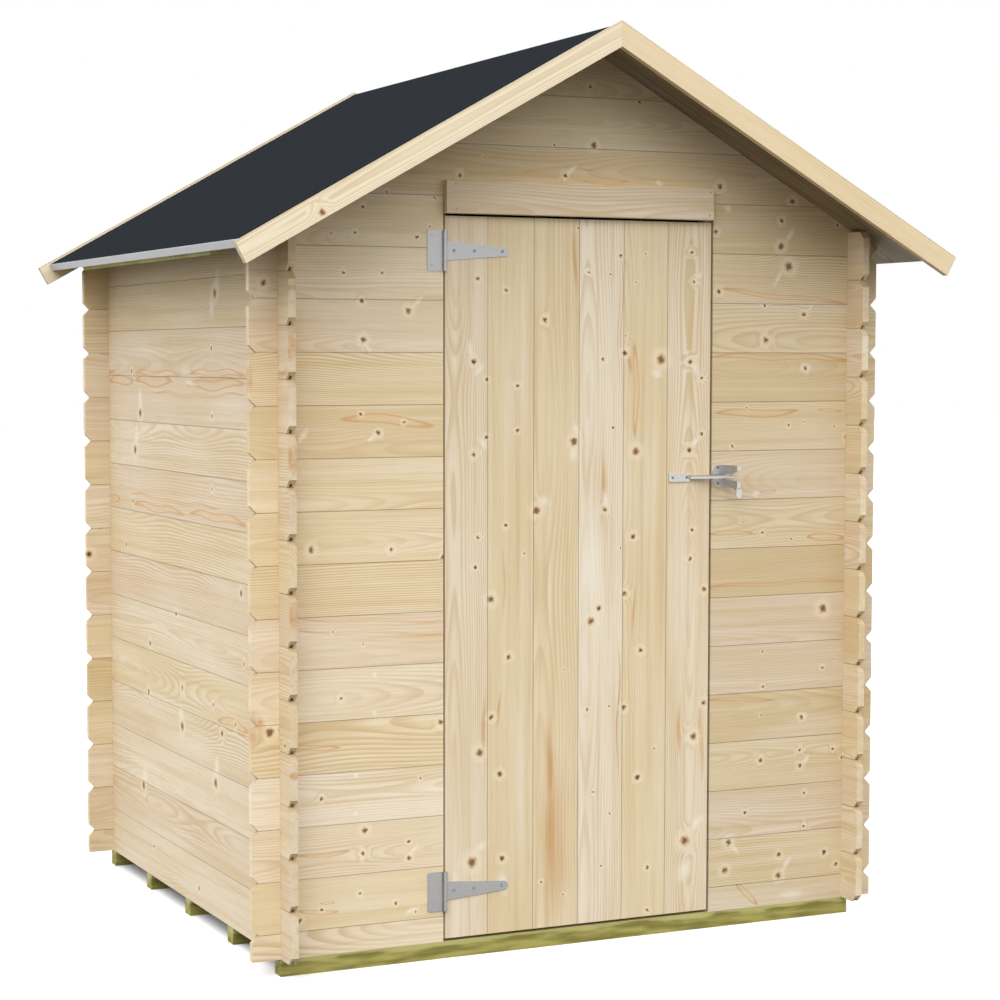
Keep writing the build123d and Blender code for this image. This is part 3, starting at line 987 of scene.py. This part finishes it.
# %% Treated timber
def treated(name, along, across, face, fresh, worn, painted_light_band=None, hatch=0.08):
    """Sawn timber with a green treatment: fresh and worn are its two colours, and above the given
    height it is paler: painted light, for the upper part of the face catching more light from above.
    hatch is how strong the marks of the saw are."""
    material, shader, place = new_material(name)
    run = place.dot(along)
    side = place.dot(across)
    deep = place.dot(Vector(along).cross(Vector(across))) - face
    cloud = noise(combine(run * 7, side * 45, deep * 45), 1.0, 2.0)
    grain = noise(combine(run * 5.0, side * 220, deep * 220), 1.0, 1.0)
    marks = noise(combine((run + side * 0.5 + deep * 0.5) * 110, 0.0, 0.0), 1.0, 1.0)
    wood = cloud.step(0.36, 0.64).mix(worn, fresh)
    wood = (grain.step(0.45, 0.75) * 0.35).mix(wood, look(124, 108, 56))
    wood = (marks.step(0.5, 0.66) * hatch).mix(wood, look(118, 110, 56))
    # Painted light: above the band the face is paler, as if its upper part caught more light from above.
    if painted_light_band is not None:
        height = place.dot((0, 0, 1)) + (cloud - 0.5) * 0.040
        wood = (height.step(painted_light_band - 0.003, painted_light_band + 0.004) * 0.60).mix(wood, look(192, 186, 124))
    plug(wood, shader, "Base Color")
    plug(0.72 + grain * 0.15, shader, "Roughness")
    roughen(shader, marks * 0.6 + grain * 0.4, 0.4, 0.0008)
    return material


bearer_wood = treated(
    "treated_bearers", (1, 0, 0), (0, 0, 1), front_face, look(172, 164, 88), look(126, 119, 52), painted_light_band=0.030
)
dress(bearer_wood, *[f"bearer_{number}" for number in range(1, 6)])
# The battens take far paler colours than the bearers: painted light, so that they look lit in the shade
# under the eaves.
batten_wood_painted_light = treated(
    "treated_battens", (0, 1, 0), (0, 0, 1), 0.0, look(245, 244, 170), look(214, 212, 128), hatch=0.35
)
dress(batten_wood_painted_light, "eaves_batten_left", "eaves_batten_right")
print("treated timber dressed")

# %% [markdown]
# ## Felt
# Roofing felt is a mat soaked with bitumen and rolled in fine mineral grains. From a few metres it
# is an even blue-black, and its surface only sparkles close by.


# %% Felt
def felt_material():
    material, shader, place = new_material("roofing_felt")
    shader.inputs["Specular IOR Level"].default_value = 0.0
    grains = noise(place, 900.0, 1.0, 0.7)
    patch = noise(place, 3.0, 1.0)
    colour = grains.step(0.35, 0.75).mix(look(29, 32, 35), look(42, 45, 49))
    colour = (patch.step(0.4, 0.8) * 0.25).mix(colour, look(33, 36, 39))
    plug(colour, shader, "Base Color")
    plug(0.82 + grains * 0.12, shader, "Roughness")
    roughen(shader, grains, 0.5, 0.0008)
    return material


dress(felt_material(), "roof_felt_left", "roof_felt_right")
print("felt dressed")

# %% [markdown]
# ## Metal
# The hinges and the latch are steel dipped or plated with zinc. Zinc is a soft grey metal with
# faint crystals and small scuffs. The strip along the eaves is thin sheet with a light grey coat.


# %% Zinc and the eaves strip
def zinc_material(name, shade):
    material, shader, place = new_material(name)
    crystals = place.node(
        "ShaderNodeTexVoronoi", {"feature": "F1"}, {"Vector": place, "Scale": 220.0}, out="Color"
    )
    tint = crystals.node("ShaderNodeSeparateXYZ", None, {0: crystals})
    scuff = noise(place, 60.0, 3.0)
    colour = (tint * 0.25 + scuff * 0.25).mix(shade, look(150, 151, 153))
    plug(colour, shader, "Base Color")
    plug(0.30 + tint * 0.05 + scuff * 0.10, shader, "Roughness")
    shader.inputs["Metallic"].default_value = 0.75
    roughen(shader, scuff, 0.06, 0.0003)
    return material


def strip_material():
    material, shader, place = new_material("eaves_strip")
    dust = noise(place, 900.0, 1.0)
    haze = noise(place, 5.0)
    colour = (dust * 0.3 + haze * 0.3).mix(look(200, 200, 203), look(192, 192, 196))
    plug(colour, shader, "Base Color")
    plug(0.45 + dust * 0.1, shader, "Roughness")
    return material


dress(zinc_material("zinc_upper_hinge", look(166, 166, 166)), "hinge_upper_leaf", "hinge_upper_strap")
# The lower hinge is given a darker zinc than the upper one.
dress(zinc_material("zinc_lower_hinge", look(142, 142, 142)), "hinge_lower_leaf", "hinge_lower_strap")
dress(zinc_material("zinc_latch", look(186, 184, 181)), "latch_bar", "latch_keeper", "latch_pawl")
dress(strip_material(), "eaves_trim_left", "eaves_trim_right")
print("metal dressed")

# %% [markdown]
# ## Screws and nails
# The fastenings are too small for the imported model. A screw head is a low dome turned on a lathe,
# with a cross pressed into it. Every head is built at its real size round its own middle, tilted to
# stand on its face, and merged with the other heads of its group, so that a group moves as one.


# %% One head
def head(mesh, place, normal, radius, height, cross=0.0, turn=0.0):
    """Adds a turned head to a bmesh. cross is how deep its recess is, as a share of the radius."""
    segments = 24
    cross_reach = 0.6
    skirt = 0.0004
    rings = ((0.16, 1.0), (0.34, 0.99), (0.52, 0.95), (0.70, 0.86), (0.86, 0.66), (0.97, 0.34), (1.0, 0.0))
    spin = Vector((0, 0, 1)).rotation_difference(Vector(normal)).to_matrix()
    spin = spin @ Matrix.Rotation(math.radians(turn), 3, "Z")
    centre = Vector(place)

    def point(share, angle, up):
        flat = Vector((math.cos(angle), math.sin(angle), 0)) * radius * share
        return mesh.verts.new(centre + spin @ (flat + Vector((0, 0, up))))

    rows = []
    for share, rise in rings:
        row = []
        for step in range(segments):
            sunk = cross * radius if share < cross_reach and step % (segments // 4) == 0 else 0.0
            row.append(point(share, 2 * math.pi * step / segments, height * rise - sunk))
        rows.append(row)
    rows.append([point(1.0, 2 * math.pi * step / segments, -skirt) for step in range(segments)])
    middle = point(0.0, 0.0, height - cross * radius)
    for step in range(segments):
        after = (step + 1) % segments
        mesh.faces.new((middle, rows[0][step], rows[0][after]))
        for inner, outer in zip(rows, rows[1:]):
            mesh.faces.new((inner[step], outer[step], outer[after], inner[after]))
    mesh.faces.new(rows[-1][::-1])


def heads(name, body, material, places, normal, radius, height, cross=0.0):
    """One piece of several heads, which rides on a body. places are in millimetres."""
    built = bmesh.new()
    for number, place in enumerate(places):
        head(built, Vector(place) * MM, normal, radius * MM, height * MM, cross, turn=17 + 37 * number)
    data = bpy.data.meshes.new(name)
    built.to_mesh(data)
    built.free()
    data.materials.append(material)
    piece = bpy.data.objects.new(name, data)
    bpy.context.scene.collection.objects.link(piece)
    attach(piece, body)


print("heads ready")

# %% [markdown]
# The straps have three screws each, the leaves two, the bolt's plate two and the keeper two. The
# trim over the door is nailed near its ends. Inside, each plank of the door is screwed to both
# ledges from behind, and the posts are screwed to the ends of the wall boards.

# %% Screws and nails in place
bright = zinc_material("zinc_screws", look(138, 138, 139))
dull = zinc_material("dark_screws", look(96, 96, 98))
pale = zinc_material("pale_screws", look(156, 156, 157))
front = (0, -1, 0)
behind = (0, 1, 0)
hinge_levels = (160, 1654)
strap_places = [(x, -621, z) for z in hinge_levels for x in (-333.5, -281.5, -209.5)]
leaf_places = [(-389.5, -621, z + up) for z in hinge_levels for up in (-34.5, 34.5)]
heads("strap_screws", "door", bright, strap_places, front, 4.2, 1.5, 0.34)
heads("leaf_screws", "shed", pale, leaf_places, front, 3.2, 0.5, 0.25)
heads("bolt_plate_screws", "door", dull, [(249, -622, 1118), (288, -622, 1118)], front, 3.2, 1.2, 0.34)
keeper_places = [(376.5, -621, 1140.5), (376.5, -621, 1101.5)]
heads("keeper_screws", "shed", dull, keeper_places, front, 3.2, 1.2, 0.34)
header_places = [(x, -637, z) for x, z in ((-336, 1806), (-334, 1750), (341, 1806), (339, 1750))]
heads("header_nails", "shed", dull, header_places, front, 1.9, 0.35)
plank_middles = [door_low.x / MM + 55 + 120 * number for number in range(plank_count)]
ledge_places = [
    (min(max(x + shift, -318), 317), -583, z + up)
    for z in hinge_levels
    for x in plank_middles
    for shift, up in ((-22, 24), (22, -24))
]
heads("ledge_screws", "door", bright, ledge_places, behind, 3.6, 1.3, 0.34)
post_places = [(x, -573, 140 + 240 * number) for x in (-380, 380) for number in range(7)]
heads("post_screws", "shed", bright, post_places, behind, 3.6, 1.3, 0.34)
print("screws and nails in place")

# %% [markdown]
# ## Floor and light
# The shed stands on a plain white floor under a wide soft sky, as on an overcast day, when the sky
# overhead is brighter than the horizon. That gives the deep soft shade under the eaves, because
# boards near the roof see only the low part of it. A wide lamp from the left of the camera adds some
# direction, and a weaker one lights the far sides. The floor looks white to the camera but throws
# little light back, because a strong bounce would fill that shade.


# %% Floor
def seen_directly(start):
    """1 for rays from the camera, off gloss and through glass, and 0 for light on its way to things."""
    path = start.node("ShaderNodeLightPath", out="Is Camera Ray")
    sharp = path.maths("MAXIMUM", path.other("Is Glossy Ray"), path.other("Is Transmission Ray"))
    return path.maths("MAXIMUM", path, sharp)


def stage_material():
    """White where it is looked at, and dark where it throws light back."""
    material = bpy.data.materials.new("stage")
    material.use_nodes = True
    tree = material.node_tree
    tree.nodes.clear()
    output = tree.nodes.new("ShaderNodeOutputMaterial")
    seen = tree.nodes.new("ShaderNodeBsdfDiffuse")
    seen.inputs["Color"].default_value = (0.93, 0.93, 0.93, 1)
    bounce = tree.nodes.new("ShaderNodeBsdfDiffuse")
    bounce.inputs["Color"].default_value = (0.04, 0.04, 0.04, 1)
    start = Wire(tree, seen.outputs[0])
    direct = seen_directly(start)
    both = direct.node("ShaderNodeMixShader", None, {0: direct, 1: Wire(tree, bounce.outputs[0]), 2: start})
    tree.links.new(both.socket, output.inputs["Surface"])
    return material


floor_mesh = bpy.data.meshes.new("ground")
reach = 40.0
floor_mesh.from_pydata(
    [(-reach, -reach, 0), (reach, -reach, 0), (reach, reach, 0), (-reach, reach, 0)], [], [(0, 1, 2, 3)]
)
floor = bpy.data.objects.new("ground", floor_mesh)
bpy.context.scene.collection.objects.link(floor)
floor_mesh.materials.append(stage_material())
print("floor ready")

# %% World and lamps
world = bpy.data.worlds.new("studio")
bpy.context.scene.world = world
world.use_nodes = True
sky = world.node_tree
sky.nodes.clear()
sky_out = sky.nodes.new("ShaderNodeOutputWorld")
backdrop = sky.nodes.new("ShaderNodeBackground")
sky.links.new(backdrop.outputs[0], sky_out.inputs["Surface"])
sky_start = Wire(sky, backdrop.outputs[0])
direct = seen_directly(sky_start)
toward = sky_start.node("ShaderNodeTexCoord", out="Generated")
height = toward.dot((0, 0, 1))
at_horizon, more_overhead = 0.82, 1.5
overcast = at_horizon + height.maths("MAXIMUM", height, 0.0) * more_overhead
level = overcast * (1 - direct) + direct
sky.links.new(level.socket, backdrop.inputs["Strength"])
backdrop.inputs["Color"].default_value = (1.0, 1.0, 1.0, 1.0)


def lamp(name, towards, strength, width):
    """A distant lamp that shines in one direction. A larger width makes its shadows softer."""
    data = bpy.data.lights.new(name, "SUN")
    data.energy = strength
    data.angle = math.radians(width)
    made = bpy.data.objects.new(name, data)
    made.rotation_euler = Vector(towards).to_track_quat("-Z", "Y").to_euler()
    bpy.context.scene.collection.objects.link(made)


lamp("key", (0.5, 0.5, -0.75), 1.4, 50)
lamp("back", (-0.6, -0.6, -0.6), 0.8, 60)
bpy.context.scene.view_settings.view_transform = "Standard"
print("light ready")
